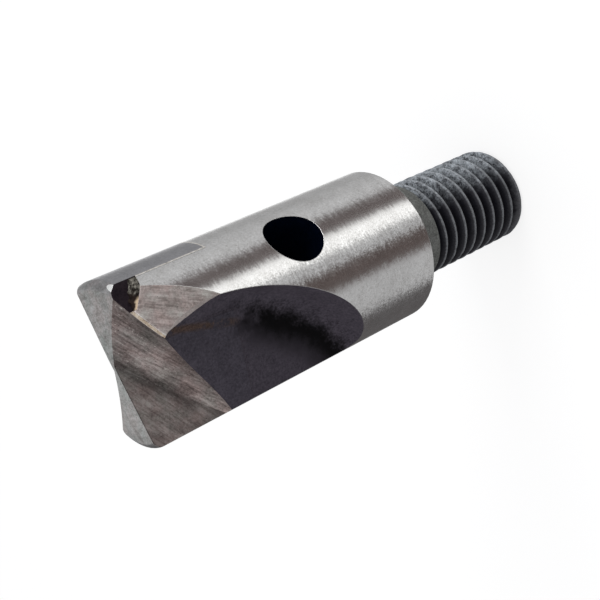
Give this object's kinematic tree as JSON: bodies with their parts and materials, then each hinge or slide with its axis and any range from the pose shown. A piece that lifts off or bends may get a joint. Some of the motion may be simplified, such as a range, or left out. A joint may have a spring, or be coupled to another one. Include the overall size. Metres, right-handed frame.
{
  "type": "rivet shaver cutter",
  "caption": "Ground cylindrical steel cutter body with a carbide plate brazed across its front, cut to a pair of lips with gashes and flutes, a cross hole for a wrench, and a threaded shank.",
  "frame": {"origin": "centre of the flat end of the shank, on the axis", "axes": "+Z along the axis from the shank to the cutting end, +X along the line of the lips, +Y right handed; in the picture the camera is on the -Y side and +X is the upper lip"},
  "size_m": [0.0096, 0.0096, 0.0302],
  "materials": {
    "body_steel": "cylindrically ground steel, with black oxide left on the shank, the flutes and the hole",
    "carbide": "ground tungsten carbide, grey brown with fine grinding marks",
    "braze": "silver braze, pale gold, in a thin line round the plate"
  },
  "bodies": {
    "root": {"cutter_body": "body_steel", "carbide_plate": "carbide", "braze_joint": "braze"}
  },
  "joints": []
}
